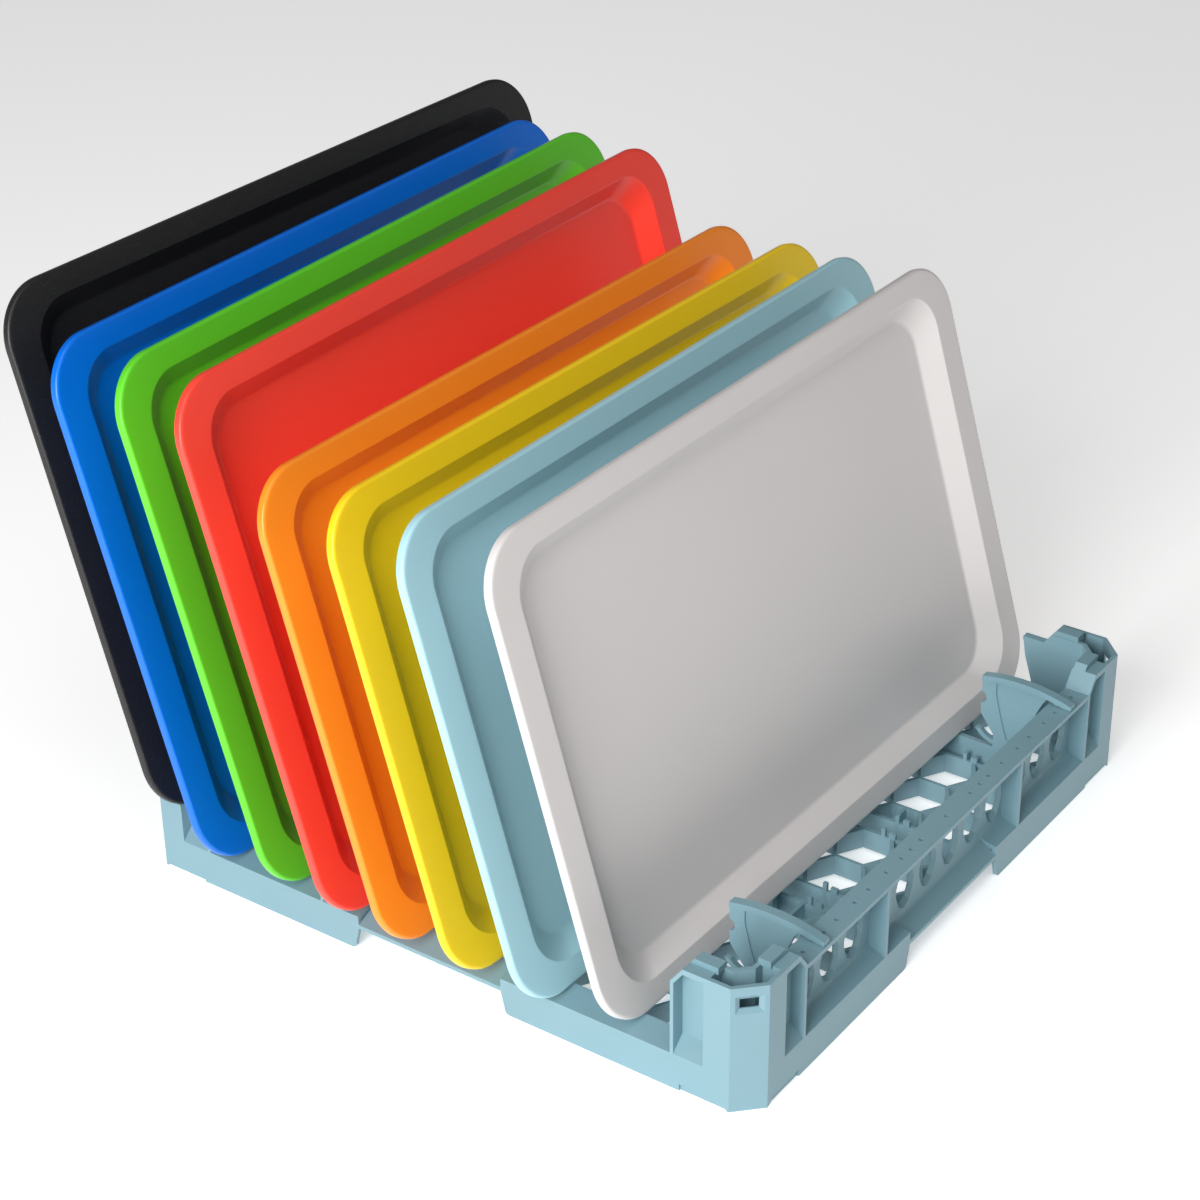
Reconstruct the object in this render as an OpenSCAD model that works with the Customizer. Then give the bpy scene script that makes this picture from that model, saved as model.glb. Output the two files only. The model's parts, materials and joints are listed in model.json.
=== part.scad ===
// Tray rack for a commercial dishwasher: a square open-sided rack with a
// honeycomb floor, two clip-in combs and eight serving trays leaning in it.

/* [Rack] */
// Outer side of the square rack
rack_side = 494; // [490:1:500]
// Height of the front and rear hand rails
rail_h = 81; // [76:1:84]
// Height of the corner posts
post_h = 93; // [90:1:98]
// Depth of the hollow wall band that runs round the rack
band = 18.5; // [17:0.5:20]
// Length of each arm of a corner post
post_arm = 60; // [58:1:64]
// Cut across each outer corner
corner_cut = 17; // [14:1:20]
// Thickness of the moulded skins
skin = 3; // [2.5:0.5:3.5]

/* [Floor] */
// Width of a honeycomb cell across its flats
cell = 38.5; // [38:0.5:39]
// Thickness of a honeycomb rib
rib = 2.6; // [2:0.2:3]
// Height of the top of the floor ribs above the table
floor_top = 18; // [16:1:20]

/* [Combs] */
// Thickness of a comb plate
comb_t = 4; // [3:0.5:5]
// Distance between tray slots, front to back
slot_pitch = 53.7; // [53:0.1:54]
// Lean of the trays away from the front, in degrees
lean = 16.5; // [15.5:0.5:17]

/* [Trays] */
// Long side of every tray
tray_w = 530; // [520:1:530]
// Short side of the four smaller trays
tray_short_h = 325; // [300:1:325]
// Short side of the four larger trays
tray_tall_h = 370; // [340:1:370]
// Width of the flat flange round a tray's field
flange_w = 31; // [28:1:34]
// Depth of a tray from its flange to the back of its field
tray_depth = 15.5; // [13:0.5:16]
// Radius of a tray's outer corners
tray_r = 38; // [30:1:45]

/* [Hidden] */
eps = 1;
arc_steps = 5;
$fn = 48;

// Rack, measured from its own centre
half = rack_side / 2;
inner = half - band;
span = half - post_arm;
inner_cut = 8;
miter = skin * (2 - sqrt(2));

// Skirt: height of its outer edge, of the rail side's ledge and of the open side's ledge
skirt_h = 26.5;
ledge_h = 29.5;
side_h = 31;
wall_face = half - 13;
skirt_foot = 3;
side_ledge_w = 1;
side_fin_h = 34;
side_fin_t = 4;
side_fin_foot = 12;

// Notch in the middle of each skirt
notch_w = 61;
notch_top_w = 58;
notch_h = 17;
notch_lip = 20;
notch_lip_t = 2.5;
notch_round = 4;
side_notch_drop = 4;

// Hand rail and its window wall
rail_t = 3;
rail_fillet = 3;
rail_back_h = 6;
wall_t = 3.5;
ledge_fillet = 6;
fin_x = 89;
fin_t = 2.6;
window_w = 18;
window_h = 30;
window_bevel = 3;
window_z = 50;
window_crown = [0.3, 0.16];
window_shoulder = 0.62;
frame_depth = 2.5;
window_x = [15, 45, 75, 110, 139, 168];
pin_x = [0, 33, 46, 58, 77, 99, 116, 138, 154, 178];
pin_r = 1.5;
pin_d = 2;

// Corner post
cap_h = 4;
cap_near = half - 51;
cap_far = half - 31;
cap_slope = 3;
cap_inset = 1;
cap_w = 9;
foot_near = half - 53;
foot_far = half - 24.5;
foot_bevel = 6.5;
foot_depth = 1.5;
pocket_d = 10;
pocket_edge = 2.5;
pocket_far = half - 36;
pocket_top = 89;
pocket_corner = 9;
click_w = 12;
click_h = 7;
click_z = 80;
click_frame = 6;
wing_end = half - 73.5;
wing_h = 85;
wing_top_w = 6;
wing_low = [5, 51];
wing_mid = [11, 70];
foot_recess = 5;
low_arm_h = 56;
low_arm_end = half - 19.5;
low_corner_h = 79;

// Floor channels that the combs and other inserts clip into
half_cell = cell / 2;
hex_r = cell / sqrt(3);
channels = [2 * half_cell, 8 * half_cell];
floor_bottom = 3;
prong_h = 6;
prong_low_h = 4;
prong_t = 3;
prong_low_t = 5;
prong_y = 170;

// Combs
comb_x = channels[1] + half_cell / 2;
beam_top = 31;
beam_end = 189;
beam_bottom = 8;
tooth_gap = 24;
tooth_t = 12;
tooth_len = 56;
tooth_root = 12;
fin_top_r = 126;
fin_notch_r = 4.5;
bead_h = 4.5;
bead_w = 6.5;
panel_d = 1.2;
cradle_r = 19;
cradle_t = 3.5;
cradle_mid = [-190, 52];
hook_front = 246;
hook_back = 233;
rear_hook_back = 226;
hook_gap = 0.4;
hook_top = 86;
shelf_h = 56.9;

// Trays, from the front one to the back one, as they were put in by hand:
// sideways shift, play in the slot and turn in degrees
tray_side = [-1, -13, -14, -13, -10, -6, -8, -8];
tray_play = [0, 1, -4, -1, 2, 3, 0, 0];
tray_turn = [-0.5, -0.5, -1.5, -1, 0.5, 1, 0.3, -1.5];
tray_z = 33.1;
back_tray_y = 194;
back_tray_z = 59;
tray_skin = 3;
tray_lip = 6;
tray_lip_w = 3;
tray_back_room = 12;
field_r = 24;

// The origin is under the middle of the loaded rack's footprint
back_reach = back_tray_y + tray_tall_h * sin(lean) + tray_back_room;
rack_y = -(back_reach - half) / 2;
rack_x = 7.5;

module at_rack() {
  translate([rack_x, rack_y, 0]) children();
}

// Extrudes a section, drawn as (distance from centre, height), along the +Y side
module along_side(from, to) {
  translate([to, 0, 0]) rotate([90, 0, -90]) mirror([1, 0, 0])
    linear_extrude(to - from) children();
}

// Turns a piece of the +Y side to one of the four sides: 0 back, 1 left, 2 front, 3 right
module on_side(quarter) {
  rotate([0, 0, 90 * quarter]) children();
}

// ---------- floor ----------
module hexagon_cell() {
  rotate(30) circle(r = hex_r - rib / sqrt(3), $fn = 6);
}

module floor_outline(inset) {
  a = inner - inset;
  b = inner - inner_cut - inset / 2;
  polygon([[b, a], [a, b], [a, -b], [b, -a], [-b, -a], [-a, -b], [-a, b], [-b, a]]);
}

module cell_holes() {
  rows = 7;
  cols = 7;
  for (j = [-rows : rows]) {
    odd = abs(j) % 2;
    for (i = [-cols : cols - odd])
      translate([cell * i + half_cell * odd, 1.5 * hex_r * j]) hexagon_cell();
  }
}

module channel_strip(x, grow) {
  translate([x - grow, -inner]) square([half_cell + 2 * grow, 2 * inner]);
}

// Ribs across the half cells beside each channel
module half_cell_ribs() {
  for (j = [-5 : 2 : 5], side = [-1, 1])
    translate([side * (channels[0] + half_cell * 1.5), 1.5 * hex_r * j])
      square([half_cell, rib], center = true);
}

module floor_pattern() {
  difference() {
    floor_outline(0);
    intersection() {
      floor_outline(rib);
      difference() {
        cell_holes();
        for (side = [0, 1], x = channels) mirror([side, 0]) channel_strip(x, rib / 2);
        half_cell_ribs();
      }
    }
    intersection() {
      floor_outline(rib);
      for (side = [0, 1], x = channels) mirror([side, 0]) channel_strip(x, -rib / 2);
    }
  }
}

// Clip prongs that stand on the channel walls at both ends
module prongs() {
  for (sx = [0, 1], sy = [0, 1], x = channels, wall = [0, half_cell])
    mirror([sx, 0]) mirror([0, sy])
      translate([x + wall - rib / 2, prong_y, floor_top]) {
        cube([rib, prong_t, prong_h]);
        translate([0, 2 * prong_t, 0]) cube([rib, prong_low_t, prong_low_h]);
      }
}

module floor_grid() {
  color("lightblue") at_rack() {
    translate([0, 0, floor_bottom]) linear_extrude(floor_top - floor_bottom) floor_pattern();
    prongs();
  }
}

// ---------- skirts ----------
// Section of a skirt: outer edge height, ledge height, and where the ledge starts
module skirt_section(edge_h, top_h, ledge_at) {
  polygon([[half, 0], [half, edge_h], [ledge_at, top_h], [inner, top_h], [inner, skirt_foot],
           [inner + skin, skirt_foot], [inner + skin, top_h - skin],
           [half - skin, edge_h - skin], [half - skin, 0]]);
}

// Section over the notch, where only a thin sloping lip is left
module notch_section(top_h, ledge_at) {
  polygon([[half, notch_h], [half, notch_lip], [ledge_at, top_h], [inner, top_h],
           [inner, notch_h], [inner + skin, notch_h], [inner + skin, top_h - skin],
           [half - notch_lip_t, notch_h]]);
}

// The rounded lower corner of the skirt beside the notch, on the left or the right
function notch_flank(side) =
  [for (i = [0 : arc_steps]) let (a = 90 * i / arc_steps)
    [side * (notch_w + notch_round * (1 - sin(a))), notch_round * (1 - cos(a))]];

module skirt(edge_h, top_h, notch_top, ledge_at) {
  difference() {
    union() {
      along_side(-span, -notch_top_w) skirt_section(edge_h, top_h, ledge_at);
      along_side(notch_top_w, span) skirt_section(edge_h, top_h, ledge_at);
      along_side(-notch_top_w, notch_top_w) notch_section(notch_top, ledge_at);
    }
    translate([0, half + eps, 0]) rotate([90, 0, 0]) linear_extrude(band + 2 * eps)
      polygon(concat([[-notch_w - notch_round, -eps]], notch_flank(-1),
                     [[-notch_top_w, notch_h], [notch_top_w, notch_h]],
                     [for (i = [arc_steps : -1 : 0]) notch_flank(1)[i]],
                     [[notch_w + notch_round, -eps]]));
  }
}

module rail_side_skirt() {
  skirt(skirt_h, ledge_h, ledge_h, wall_face);
}

// Low open side: the trays' long ends hang over it
module open_side() {
  skirt(skirt_h, side_h, side_h - side_notch_drop, inner + side_ledge_w);
  for (x = [-fin_x, fin_x])
    along_side(x - fin_t / 2, x + fin_t / 2)
      polygon([[half, skirt_h], [half - side_fin_t / 2, side_fin_h],
               [half - side_fin_t * 1.5, side_fin_h],
               [half - side_fin_foot, skirt_h]]);
}

module front_skirt() {
  color("lightblue") at_rack() on_side(2) rail_side_skirt();
}

module rear_skirt() {
  color("lightblue") at_rack() on_side(0) rail_side_skirt();
}

module left_side() {
  color("lightblue") at_rack() on_side(1) open_side();
}

module right_side() {
  color("lightblue") at_rack() on_side(3) open_side();
}

// ---------- hand rail and window wall ----------
// A long hexagon with eased corners, its tips up and down
module window_shape(w, h) {
  crown_x = w * window_crown[0];
  crown_y = h / 2 - w * window_crown[1];
  side_y = h / 2 - w * window_shoulder;
  polygon([[0, h / 2], [crown_x, crown_y], [w / 2, side_y], [w / 2, -side_y],
           [crown_x, -crown_y], [0, -h / 2], [-crown_x, -crown_y], [-w / 2, -side_y],
           [-w / 2, side_y], [-crown_x, crown_y]]);
}

// A window with a sloped frame, cut from the outside of the +Y wall
module window_cut() {
  frame_w = window_w + 2 * window_bevel;
  frame_h = window_h + 2 * window_bevel;
  translate([0, wall_face + eps, window_z]) rotate([90, 0, 0]) {
    linear_extrude(wall_t + 2 * eps) window_shape(window_w, window_h);
    linear_extrude(frame_depth + eps, slices = 1, $fn = 4,
                   scale = [window_w / frame_w, window_h / frame_h])
      window_shape(frame_w, frame_h);
  }
}

// Section of the fillet between the wall and the ledge, whose outer edge is this high
module foot_fillet(edge_h) {
  slope = atan2(ledge_h - edge_h, half - wall_face);
  reach = ledge_fillet * (1 - sin(slope));
  drop = reach * tan(slope);
  arc_z = ledge_h - drop + ledge_fillet * cos(slope);
  polygon(concat([[wall_face, ledge_h]],
                 [for (i = [0 : arc_steps]) let (a = (90 - slope) * i / arc_steps)
                   [wall_face + ledge_fillet * (1 - cos(a)), arc_z - ledge_fillet * sin(a)]]));
}

module window_wall() {
  difference() {
    union() {
      along_side(-span, span)
        polygon([[wall_face, ledge_h], [wall_face, rail_h - rail_t - rail_fillet],
                 [wall_face + rail_fillet, rail_h - rail_t],
                 [wall_face - wall_t, rail_h - rail_t], [wall_face - wall_t, ledge_h]]);
      along_side(-span, -notch_top_w) foot_fillet(skirt_h);
      along_side(notch_top_w, span) foot_fillet(skirt_h);
      along_side(-notch_top_w, notch_top_w) foot_fillet(notch_lip);
      for (x = [-fin_x, fin_x])
        along_side(x - fin_t / 2, x + fin_t / 2)
          polygon([[half, skirt_h], [half, rail_h - rail_t], [wall_face, rail_h - rail_t],
                   [wall_face, ledge_h]]);
    }
    for (side = [0, 1], x = window_x) mirror([side, 0]) translate([x, 0, 0]) window_cut();
  }
}

module hand_rail() {
  difference() {
    along_side(-span, span)
      polygon([[half, rail_h - rail_t], [half, rail_h], [inner, rail_h],
               [inner, rail_h - rail_back_h], [wall_face - wall_t, rail_h - rail_back_h],
               [wall_face - wall_t, rail_h - rail_t]]);
    for (side = [0, 1], x = pin_x) mirror([side, 0])
      translate([x, inner + band / 2, rail_h - pin_d]) cylinder(r = pin_r, h = pin_d + eps);
  }
}

module front_wall() {
  color("lightblue") at_rack() on_side(2) window_wall();
}

module rear_wall() {
  color("lightblue") at_rack() on_side(0) window_wall();
}

module front_rail() {
  color("lightblue") at_rack() on_side(2) hand_rail();
}

module rear_rail() {
  color("lightblue") at_rack() on_side(0) hand_rail();
}

// ---------- corner posts ----------
// Plan of a post at the +X +Y corner; near is where its arms end
module post_plan(near, outer, inside, cut_out, cut_in) {
  polygon([[near, outer], [outer - cut_out, outer], [outer, outer - cut_out], [outer, near],
           [inside, near], [inside, inside - cut_in], [inside - cut_in, inside],
           [near, inside]]);
}

// Swaps X and Y, so that what is made for one arm also fits the other
module both_arms() {
  children();
  mirror([1, -1, 0]) children();
}

module pocket() {
  intersection() {
    along_side(span + pocket_edge, pocket_far)
      polygon([[half + eps, skirt_h - eps], [half - pocket_d, skirt_h + pocket_d],
               [half - pocket_d, pocket_top], [half + eps, pocket_top]]);
    translate([0, half + 2 * eps, 0]) rotate([90, 0, 0]) linear_extrude(band + 2 * eps)
      polygon([[span, 0], [pocket_far + eps, 0], [pocket_far + eps, pocket_top],
               [cap_near, pocket_top], [span + pocket_edge, pocket_top - pocket_corner],
               [span, pocket_top - pocket_corner]]);
  }
}

module arm_slope() {
  translate([0, half + eps, 0]) rotate([90, 0, 0]) linear_extrude(band + 2 * eps)
    polygon([[span - eps, rail_h], [span, rail_h], [cap_near, post_h],
             [cap_near + cap_slope, post_h + cap_h], [cap_near, post_h + cap_h + eps],
             [span - eps, post_h + cap_h + eps]]);
}

// Raised seat along the inner half of an arm's top
module arm_cap() {
  translate([span, inner + cap_inset, post_h - eps]) cube([cap_far - span, cap_w, cap_h + eps]);
}

// Window through the cut corner; its frame narrows inwards
module click_window() {
  translate([half - corner_cut / 2, half - corner_cut / 2, click_z]) rotate([90, 0, -45]) {
    translate([0, 0, -eps]) linear_extrude(2 * skin) square([click_w, click_h], center = true);
    linear_extrude(skin - eps, slices = 1, $fn = 4,
                   scale = [click_w / (click_w + click_frame), click_h / (click_h + click_frame)])
      square([click_w + click_frame, click_h + click_frame], center = true);
  }
}

// Recess in the outside of each foot, closed at the back
module foot_step() {
  translate([0, half + eps, 0]) rotate([90, 0, 0]) linear_extrude(foot_depth + eps)
    polygon([[foot_near, -eps], [foot_near, foot_recess], [foot_far, foot_recess],
             [foot_far + foot_bevel, 0], [foot_far + foot_bevel, -eps]]);
}

// Thin wall that carries on from the open side's arm towards the tray, with a flat top
module wing() {
  translate([inner + skin, 0, 0]) rotate([90, 0, -90]) linear_extrude(skin)
    polygon([[-span - skin, side_h], [-span, side_h], wing_low - [span, 0],
             wing_mid - [span, 0], [-wing_end, wing_h], [-span - skin, wing_h]]);
  translate([inner, wing_end, wing_h - skin]) cube([wing_top_w, span - wing_end + skin, skin]);
}

module post(low_arm) {
  difference() {
    union() {
      difference() {
        linear_extrude(post_h) post_plan(span, half, inner, corner_cut, inner_cut);
        translate([0, 0, skirt_h])
          linear_extrude(post_h)
            post_plan(pocket_far + skin, half - skin, inner + skin,
                      corner_cut - miter, inner_cut + miter);
        translate([0, 0, -eps]) linear_extrude(skirt_h - skin + eps)
          post_plan(span + skin, half - skin, inner + skin,
                    corner_cut - miter, inner_cut + miter);
      }
      both_arms() arm_cap();
    }
    both_arms() {
      pocket();
      arm_slope();
      foot_step();
    }
    click_window();
    if (low_arm) {
      translate([inner - eps, span - eps, low_arm_h])
        cube([band + 2 * eps, low_arm_end - span + eps, post_h]);
      translate([inner - inner_cut - eps, span - eps, low_corner_h])
        cube([band + inner_cut + 2 * eps, low_arm_end - span + eps, post_h]);
    }
  }
}

module post_rear_right() {
  color("lightblue") at_rack() post(true);
}

module post_rear_left() {
  color("lightblue") at_rack() mirror([1, 0, 0]) post(true);
}

module post_front_right() {
  color("lightblue") at_rack() mirror([0, 1, 0]) {
    post(false);
    wing();
  }
}

module post_front_left() {
  color("lightblue") at_rack() mirror([1, 0, 0]) mirror([0, 1, 0]) post(false);
}

// ---------- combs ----------
// Profiles of the comb are drawn as (front to back, height)
module front_fin() {
  difference() {
    intersection() {
      translate([-207, hook_top + bead_h - fin_top_r]) circle(r = fin_top_r, $fn = 180);
      polygon([[-177, 95], [-177, 56], [-188, 41], [-188, beam_bottom], [-214, beam_bottom],
               [-216, 57], [-220, 70], [-224, 79], [-227, 83.5], [-231, 83.5],
               [-hook_back, rail_h + hook_gap], [-hook_front, rail_h + hook_gap],
               [-hook_front, 95]]);
    }
    translate([-176.5, 69]) circle(r = fin_notch_r);
  }
}

// Sunk panel in the front fin, inside its raised border
module fin_panel() {
  polygon([[-188, 83.5], [-188, 74.5], [-192.5, 57], [-198, 40], [-211, 40], [-212.5, 57],
           [-217, 72], [-222, 83.5]]);
}

// Curved lip under the front fin, in front of the first tray's lower edge
module fin_cradle() {
  intersection() {
    translate(cradle_mid) difference() {
      circle(r = cradle_r);
      circle(r = cradle_r - cradle_t);
    }
    translate(cradle_mid - [0, cradle_r]) square([cradle_r, cradle_r / 2]);
  }
}

module rear_fin() {
  polygon([[187, beam_bottom], [187, shelf_h], [206, shelf_h], [211, 64], [217, 76],
           [225, rail_h - 1], [225, hook_top], [hook_front, hook_top],
           [hook_front, rail_h + hook_gap], [rear_hook_back, rail_h + hook_gap], [224, 74],
           [217, 57], [214, beam_bottom]]);
}

module tooth() {
  rotate(-lean) {
    square([tooth_t, tooth_len - tooth_t / 2]);
    translate([tooth_t / 2, tooth_len - tooth_t / 2]) circle(r = tooth_t / 2);
    translate([0, -tooth_root]) square([tooth_t, tooth_root + eps]);
  }
}

module comb_profile() {
  translate([-beam_end, beam_bottom]) square([2 * beam_end, beam_top - beam_bottom]);
  front_fin();
  fin_cradle();
  rear_fin();
  for (i = [-3 : 2]) translate([slot_pitch * i + tooth_gap, beam_top]) tooth();
}

// Thick bead along the top of the front fin, ending in the hook over the rail
module fin_bead() {
  difference() {
    front_fin();
    translate([0, -bead_h]) front_fin();
    translate([-half, 0]) square([half, rail_h - eps]);
  }
}

module comb() {
  translate([comb_x, 0, 0]) rotate([90, 0, 90]) {
    difference() {
      translate([0, 0, -comb_t / 2]) linear_extrude(comb_t) comb_profile();
      for (side = [0, 1]) mirror([0, 0, side]) translate([0, 0, comb_t / 2 - panel_d])
        linear_extrude(comb_t) fin_panel();
    }
    translate([0, 0, -bead_w / 2]) linear_extrude(bead_w) fin_bead();
  }
}

module comb_right() {
  color("lightblue") at_rack() comb();
}

module comb_left() {
  color("lightblue") at_rack() mirror([1, 0, 0]) comb();
}

// ---------- trays ----------
module round_rect(w, h, r) {
  square([w - 2 * r, h], center = true);
  square([w, h - 2 * r], center = true);
  for (x = [-1, 1], y = [-1, 1]) translate([x * (w / 2 - r), y * (h / 2 - r)]) circle(r = r);
}

// A tray lying on its back, its flange at zero height and its field below it
module tray_shape(h) {
  field_w = tray_w - 2 * flange_w;
  field_h = h - 2 * flange_w;
  difference() {
    union() {
      translate([0, 0, -tray_skin]) linear_extrude(tray_skin) round_rect(tray_w, h, tray_r);
      translate([0, 0, -tray_lip]) linear_extrude(tray_lip) difference() {
        round_rect(tray_w, h, tray_r);
        round_rect(tray_w - 2 * tray_lip_w, h - 2 * tray_lip_w, tray_r - tray_lip_w);
      }
      translate([0, 0, -tray_depth]) linear_extrude(tray_depth)
        round_rect(field_w + 2 * tray_skin, field_h + 2 * tray_skin, field_r + tray_skin);
    }
    translate([0, 0, tray_skin - tray_depth]) linear_extrude(tray_depth)
      round_rect(field_w, field_h, field_r);
  }
}

// Stands a tray in the rack; i counts from the front
module stood_tray(i, h) {
  y = i == 7 ? back_tray_y : slot_pitch * (i - 3) + tray_play[i];
  z = i == 7 ? back_tray_z : tray_z;
  at_rack() translate([tray_side[i], y, z]) rotate([0, 0, tray_turn[i]])
    rotate([90 - lean, 0, 0]) translate([0, h / 2, 0]) tray_shape(h);
}

module tray_white() {
  color("white") stood_tray(0, tray_short_h);
}

module tray_light_blue() {
  color("powderblue") stood_tray(1, tray_short_h);
}

module tray_yellow() {
  color("gold") stood_tray(2, tray_short_h);
}

module tray_orange() {
  color("darkorange") stood_tray(3, tray_short_h);
}

module tray_red() {
  color("tomato") stood_tray(4, tray_tall_h);
}

module tray_green() {
  color("limegreen") stood_tray(5, tray_tall_h);
}

module tray_blue() {
  color("mediumblue") stood_tray(6, tray_tall_h);
}

module tray_black() {
  color("black") stood_tray(7, tray_tall_h);
}

floor_grid();
front_skirt();
rear_skirt();
left_side();
right_side();
front_wall();
rear_wall();
front_rail();
rear_rail();
post_front_left();
post_front_right();
post_rear_left();
post_rear_right();
comb_left();
comb_right();
tray_white();
tray_light_blue();
tray_yellow();
tray_orange();
tray_red();
tray_green();
tray_blue();
tray_black();
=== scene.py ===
"""Looks for a dishwasher tray rack with eight serving trays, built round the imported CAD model."""
import json
import math

import bmesh
import bpy
from mathutils import Matrix, Vector


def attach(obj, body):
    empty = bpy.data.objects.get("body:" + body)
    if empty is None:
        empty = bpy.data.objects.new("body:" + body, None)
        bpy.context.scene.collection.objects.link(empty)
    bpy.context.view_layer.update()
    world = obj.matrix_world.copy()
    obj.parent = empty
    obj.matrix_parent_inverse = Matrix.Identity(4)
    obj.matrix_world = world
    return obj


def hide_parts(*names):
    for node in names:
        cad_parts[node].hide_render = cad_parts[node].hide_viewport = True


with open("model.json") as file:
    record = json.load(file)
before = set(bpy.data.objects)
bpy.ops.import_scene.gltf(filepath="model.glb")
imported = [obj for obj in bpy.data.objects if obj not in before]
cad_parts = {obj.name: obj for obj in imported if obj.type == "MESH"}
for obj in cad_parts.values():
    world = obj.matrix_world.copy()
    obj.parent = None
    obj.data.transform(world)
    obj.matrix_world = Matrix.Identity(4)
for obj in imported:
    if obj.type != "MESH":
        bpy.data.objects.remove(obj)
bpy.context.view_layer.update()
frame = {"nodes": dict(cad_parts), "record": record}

MM = 0.001
LEAN = math.radians(16.5)

# Where the rack's centre lies in the row frame, in millimetres
RACK_X, RACK_Y = 7.5, -32.04

RACK_NODES = frame["record"]["behaviour"]["bodies"]["rack"]


# ---------- materials ----------
# Patterns of moulded plastic, as noise scales per metre, and how far the gloss wanders
CLOUD_SCALE, SMUDGE_SCALE, DUST_SCALE = 9.0, 18.0, 1500.0
GLOSS_LOW, GLOSS_HIGH = -0.03, 0.04
GRAIN_STRENGTH = 0.25


def node_material(name):
    mat = bpy.data.materials.new(name)
    mat.use_nodes = True
    nodes, links = mat.node_tree.nodes, mat.node_tree.links
    return mat, nodes, links, nodes["Principled BSDF"]


def noise(nodes, links, coord, scale, detail, roughness=0.5):
    tex = nodes.new("ShaderNodeTexNoise")
    tex.inputs["Scale"].default_value = scale
    tex.inputs["Detail"].default_value = detail
    tex.inputs["Roughness"].default_value = roughness
    links.new(coord, tex.inputs["Vector"])
    return tex.outputs["Fac"]


def spread(nodes, links, value, low, high, from_low=0.1, from_high=0.9):
    """Stretches a noise value to the range low to high."""
    node = nodes.new("ShaderNodeMapRange")
    for key, v in (("From Min", from_low), ("From Max", from_high),
                   ("To Min", low), ("To Max", high)):
        node.inputs[key].default_value = v
    links.new(value, node.inputs["Value"])
    return node.outputs["Result"]


def shaded(color, factor):
    return tuple(min(1.0, c * factor) for c in color) + (1.0,)


def mixed(nodes, links, value, first, second):
    """Mixes two colours by a value; the first may be another node's output."""
    mix = nodes.new("ShaderNodeMix")
    mix.data_type = "RGBA"
    if isinstance(first, tuple):
        mix.inputs["A"].default_value = first
    else:
        links.new(first, mix.inputs["A"])
    mix.inputs["B"].default_value = second
    links.new(value, mix.inputs["Factor"])
    return mix.outputs["Result"]


def plastic(name, color, rough, grain_scale, grain_depth, mottle=0.05, speckle=0.0):
    """Moulded plastic: mottled colour, worn gloss and a fine grain, all in object space."""
    mat, nodes, links, bsdf = node_material(name)
    coord = nodes.new("ShaderNodeTexCoord").outputs["Object"]
    cloud = spread(nodes, links, noise(nodes, links, coord, CLOUD_SCALE, 2.0), 0.0, 1.0)
    base = mixed(nodes, links, cloud, shaded(color, 1 - mottle), shaded(color, 1 + mottle))
    if speckle:
        dust = noise(nodes, links, coord, DUST_SCALE, 2.0, 0.7)
        dots = spread(nodes, links, dust, 0.0, 1.0, 0.66, 0.74)
        base = mixed(nodes, links, dots, base, (speckle, speckle, speckle, 1.0))
    links.new(base, bsdf.inputs["Base Color"])
    smudge = noise(nodes, links, coord, SMUDGE_SCALE, 2.0)
    gloss = spread(nodes, links, smudge, rough + GLOSS_LOW, rough + GLOSS_HIGH)
    links.new(gloss, bsdf.inputs["Roughness"])
    bump = nodes.new("ShaderNodeBump")
    bump.inputs["Strength"].default_value = GRAIN_STRENGTH
    bump.inputs["Distance"].default_value = grain_depth * MM
    links.new(noise(nodes, links, coord, grain_scale, 3.0), bump.inputs["Height"])
    links.new(bump.outputs["Normal"], bsdf.inputs["Normal"])
    return mat


def set_material(obj, *mats):
    obj.data.materials.clear()
    for mat in mats:
        obj.data.materials.append(mat)


# ---------- trays ----------
SLOT_PITCH = 53.7
TRAY_W, SHORT_H, TALL_H = 530.0, 325.0, 370.0
TRAY_Z, BACK_Y, BACK_Z = 33.1, 194.0, 59.0

# Front tray first: name, height, side shift, play in the slot, turn in degrees and the colour
# of the rim. All but the colour are the CAD model's own.
TRAYS = [
    ("white", SHORT_H, -1, 0, -0.5, (0.70, 0.67, 0.66)),
    ("light_blue", SHORT_H, -13, 1, -0.5, (0.40, 0.67, 0.75)),
    ("yellow", SHORT_H, -14, -4, -1.5, (1.0, 0.66, 0.012)),
    ("orange", SHORT_H, -13, -1, -1.0, (0.98, 0.29, 0.020)),
    ("red", TALL_H, -10, 2, 0.5, (0.97, 0.066, 0.042)),
    ("green", TALL_H, -6, 3, 1.0, (0.12, 0.64, 0.024)),
    ("blue", TALL_H, -8, 0, 0.3, (0.0, 0.155, 0.74)),
    ("black", TALL_H, -8, 0, -1.5, (0.012, 0.012, 0.013)),
]

# Painted shade: the matt field is the same plastic as the rim, but its colour is painted this much
# darker for the shade that falls in its recess
FIELD_PAINTED_SHADE = 0.9

CORNER_STEPS, CREST_STEPS, FOOT_STEPS = 20, 5, 8

# The flat flange and the foot of the sloping wall, as insets from the short sides and, in the
# second number, from the long sides
CREST_IN, FOOT_IN = (23.5, 16.5), (38.0, 29.0)
CREST_R, FOOT_R, LIP_R = 1.3, 5.0, 2.0
FIELD_Z = -12.4
SKIN = 3.0

# Rings inside the flat field, which keep its shading flat
FIELD_RINGS = (90.0, 60.0)


def arc(cx, cy, r, start, end, steps):
    """Points of an arc in the tray's section, as (inset from the outer edge, height)."""
    return [(cx + r * math.cos(math.radians(start + (end - start) * i / steps)),
             cy + r * math.sin(math.radians(start + (end - start) * i / steps)))
            for i in range(steps + 1)]


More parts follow.
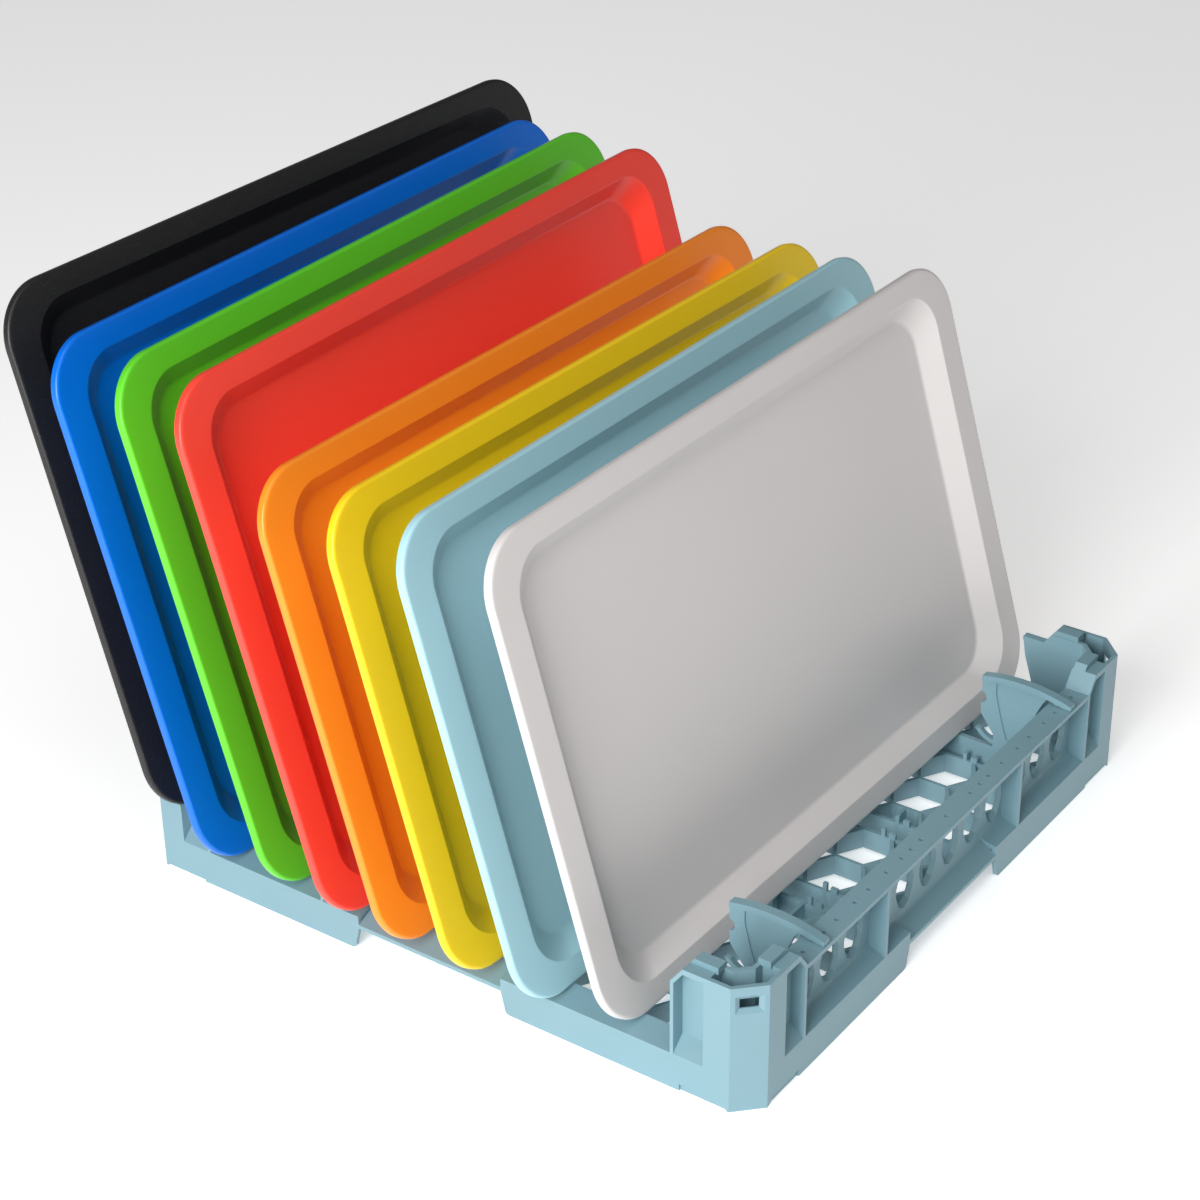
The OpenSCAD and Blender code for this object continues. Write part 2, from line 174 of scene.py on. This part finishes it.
def tray_section():
    """The tray's section from the middle of its front, over the lip, to the middle of its back."""
    crest, foot = CREST_IN[0], FOOT_IN[0]
    slope = math.atan2(-FIELD_Z, foot - crest)
    foot_mid = foot + FOOT_R * math.tan(slope / 2)
    crest_mid = crest - CREST_R * math.tan(slope / 2)
    points = [(inset, FIELD_Z) for inset in FIELD_RINGS]
    for i in range(FOOT_STEPS + 1):
        a = slope * i / FOOT_STEPS
        points.append((foot_mid - FOOT_R * math.sin(a), FIELD_Z + FOOT_R * (1 - math.cos(a))))
    for i in range(CREST_STEPS, -1, -1):
        a = slope * i / CREST_STEPS
        points.append((crest_mid + CREST_R * math.sin(a), -CREST_R * (1 - math.cos(a))))
    field_points = len(points) - CREST_STEPS
    points += [(crest - 1.5, 0.0), (12.0, 0.0), (3.4, 0.0)]
    points += arc(LIP_R, -LIP_R, LIP_R, 90, 180, 7)
    points += [(0.0, -3.6), (0.05, -5.2)]
    points += arc(0.75, -5.3, 0.65, 190, 270, 3)
    points += arc(2.0, -5.4, 0.5, -80, -10, 2)
    points += arc(4.2, -4.2, 1.2, 180, 90, 3)
    back_z = FIELD_Z - SKIN - 0.1
    points += [(10.0, -SKIN), (crest - 3.0, -SKIN), (crest - 1.2, -SKIN - 0.6)]
    points += [(foot - 2.5, back_z + 0.5), (foot - 0.6, back_z)]
    points += [(inset, back_z) for inset in reversed(FIELD_RINGS)]
    return points, field_points


def between(value, low, high, at_low, at_high):
    """The value's place between low and high, moved to the same place between the other two."""
    return at_low + (at_high - at_low) * (value - low) / (high - low)


def long_side_inset(inset):
    """The inset from a long side that goes with this inset from a short side."""
    lip = 4.0
    if inset <= lip:
        return inset
    if inset <= CREST_IN[0]:
        return between(inset, lip, CREST_IN[0], lip, CREST_IN[1])
    if inset <= FOOT_IN[0]:
        return between(inset, CREST_IN[0], FOOT_IN[0], CREST_IN[1], FOOT_IN[1])
    return FOOT_IN[1] + inset - FOOT_IN[0]


def corner_radius(inset):
    """Corner radius of the rounded rectangle that lies this far in from the tray's edge."""
    outer, crest, foot = 38.0, 30.0, 27.0
    if inset <= CREST_IN[0]:
        return between(inset, 0.0, CREST_IN[0], outer, crest)
    return between(min(inset, FOOT_IN[0]), CREST_IN[0], FOOT_IN[0], crest, foot)


def ring(inset, height, w, h):
    """One loop round a tray w by h, at this inset and height over the rim."""
    r = corner_radius(inset)
    a, b = w / 2 - inset - r, h / 2 - long_side_inset(inset) - r
    out = []
    for quarter, (sx, sy) in enumerate(((1, 1), (-1, 1), (-1, -1), (1, -1))):
        for i in range(CORNER_STEPS + 1):
            t = math.radians(90 * quarter + 90 * i / CORNER_STEPS)
            out.append(Vector((sx * a + r * math.cos(t), sy * b + r * math.sin(t), height)))
    return out


def tray_mesh(name, h):
    """A tray lying flat, its rim at height 0; slot 0 is the rim and slot 1 the field."""
    points, field_points = tray_section()
    bm = bmesh.new()
    rings = [[bm.verts.new(v * MM) for v in ring(d, n, TRAY_W, h)] for d, n in points]
    count = len(rings[0])
    for k in range(len(rings) - 1):
        for i in range(count):
            j = (i + 1) % count
            face = bm.faces.new((rings[k][i], rings[k][j], rings[k + 1][j], rings[k + 1][i]))
            face.smooth = True
            face.material_index = 1 if k < field_points else 0
    front = bm.faces.new(list(reversed(rings[0])))
    back = bm.faces.new(rings[-1])
    front.material_index = 1
    for face in (front, back):
        face.smooth = True
    bmesh.ops.recalc_face_normals(bm, faces=bm.faces)
    mesh = bpy.data.meshes.new(name)
    bm.to_mesh(mesh)
    bm.free()
    obj = bpy.data.objects.new(name, mesh)
    bpy.context.scene.collection.objects.link(obj)
    return obj


for index, (color_name, height, side, play, turn, color) in enumerate(TRAYS):
    last = index == len(TRAYS) - 1
    y = BACK_Y if last else SLOT_PITCH * (index - 3) + play
    z = BACK_Z if last else TRAY_Z
    tray = tray_mesh("tray_" + color_name + "_shell", height)
    place = (Matrix.Translation(Vector((side + RACK_X, y + RACK_Y, z)) * MM)
             @ Matrix.Rotation(math.radians(turn), 4, "Z")
             @ Matrix.Rotation(math.pi / 2 - LEAN, 4, "X")
             @ Matrix.Translation((0, height / 2 * MM, 0)))
    tray.data.transform(place)
    if last:
        rim = plastic("black_rim", color, 0.42, 700.0, 0.25, 0.10, 0.16)
        field = plastic("black_field", color, 0.55, 700.0, 0.30, 0.10, 0.10)
    else:
        rim = plastic(color_name + "_rim", color, 0.30, 500.0, 0.035, 0.02)
        # The field's colour is the rim's colour darkened with painted shade
        field = plastic(color_name + "_field", tuple(FIELD_PAINTED_SHADE * c for c in color), 0.43,
                        420.0, 0.06, 0.015)
    set_material(tray, rim, field)
    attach(tray, color_name + "_tray")
    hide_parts("tray_" + color_name)


# ---------- rack ----------
RACK_COLOR = (0.20, 0.345, 0.40)
FLOOR_EDGE, RACK_EDGE = 0.35, 0.7
rack_plastic = plastic("rack_plastic", RACK_COLOR, 0.40, 450.0, 0.07, 0.04)


def soften(obj, width):
    """Rounds a moulded part's edges without touching its mesh."""
    merge = obj.modifiers.new("flats", "DECIMATE")
    merge.decimate_type = "DISSOLVE"
    merge.angle_limit = math.radians(1.0)
    bevel = obj.modifiers.new("edges", "BEVEL")
    bevel.width = width * MM
    bevel.segments = 2
    bevel.limit_method = "ANGLE"
    bevel.angle_limit = math.radians(35)


for name in RACK_NODES:
    node = frame["nodes"][name]
    set_material(node, rack_plastic)
    soften(node, FLOOR_EDGE if name == "floor_grid" else RACK_EDGE)


# ---------- stage ----------
FLOOR_HALF, FLOOR_SHADE, FLOOR_GLOW = 6.0, 0.93, 0.45
WORLD_LIGHT = 0.15
WHITE = (1, 1, 1, 1)

# Name, place and aim in metres, side of the square, watts
LIGHTS = [
    ("key", (-1.95, -0.45, 1.3), (0, 0, 0.15), 1.1, 38),
    ("side", (-3.4, -0.35, 0.75), (0, -0.2, 0.05), 0.9, 40),
    ("top", (-0.7, -1.0, 2.8), (0, 0, 0.15), 1.4, 14),
]

floor_mesh = bpy.data.meshes.new("studio_floor")
floor_mesh.from_pydata([(-FLOOR_HALF, -FLOOR_HALF, 0), (FLOOR_HALF, -FLOOR_HALF, 0),
                        (FLOOR_HALF, FLOOR_HALF, 0), (-FLOOR_HALF, FLOOR_HALF, 0)],
                       [], [(0, 1, 2, 3)])
floor_obj = bpy.data.objects.new("studio_floor", floor_mesh)
bpy.context.scene.collection.objects.link(floor_obj)
floor_mat, _, _, floor_bsdf = node_material("studio_floor")
floor_bsdf.inputs["Base Color"].default_value = (FLOOR_SHADE, FLOOR_SHADE, FLOOR_SHADE, 1)
floor_bsdf.inputs["Roughness"].default_value = 0.7
floor_bsdf.inputs["Emission Color"].default_value = WHITE
floor_bsdf.inputs["Emission Strength"].default_value = FLOOR_GLOW
set_material(floor_obj, floor_mat)

world = bpy.data.worlds.new("studio")
world.use_nodes = True
world.node_tree.nodes["Background"].inputs["Color"].default_value = WHITE
world.node_tree.nodes["Background"].inputs["Strength"].default_value = WORLD_LIGHT
bpy.context.scene.world = world

for name, place, aim, side, power in LIGHTS:
    data = bpy.data.lights.new(name, "AREA")
    data.shape = "SQUARE"
    data.size = side
    data.energy = power
    lamp = bpy.data.objects.new(name, data)
    lamp.location = place
    lamp.rotation_euler = (Vector(aim) - Vector(place)).to_track_quat("-Z", "Y").to_euler()
    bpy.context.scene.collection.objects.link(lamp)


# ---------- camera ----------
AZIMUTH, ELEVATION, ROLL = math.radians(-54.432), math.radians(29.654), math.radians(-0.663)
DISTANCE, LENS, SENSOR = 2.0250, 83.4021, 36.0
TARGET = Vector((78.02 + RACK_X, 93.49 + RACK_Y, 100.03)) * MM
back = Vector((math.sin(AZIMUTH) * math.cos(ELEVATION),
               -math.cos(AZIMUTH) * math.cos(ELEVATION), math.sin(ELEVATION)))
level_right = (-back).cross(Vector((0, 0, 1))).normalized()
level_up = level_right.cross(-back)
right = level_right * math.cos(ROLL) + level_up * math.sin(ROLL)
up = level_up * math.cos(ROLL) - level_right * math.sin(ROLL)
camera_data = bpy.data.cameras.new("camera")
camera_data.sensor_width = SENSOR
camera_data.lens = LENS
camera_data.clip_end = 50
camera = bpy.data.objects.new("camera", camera_data)
camera.matrix_world = Matrix.Translation(TARGET + back * DISTANCE) @ Matrix(
    (right, up, back)).transposed().to_4x4()
bpy.context.scene.collection.objects.link(camera)
bpy.context.scene.camera = camera
bpy.context.scene.view_settings.view_transform = "Standard"
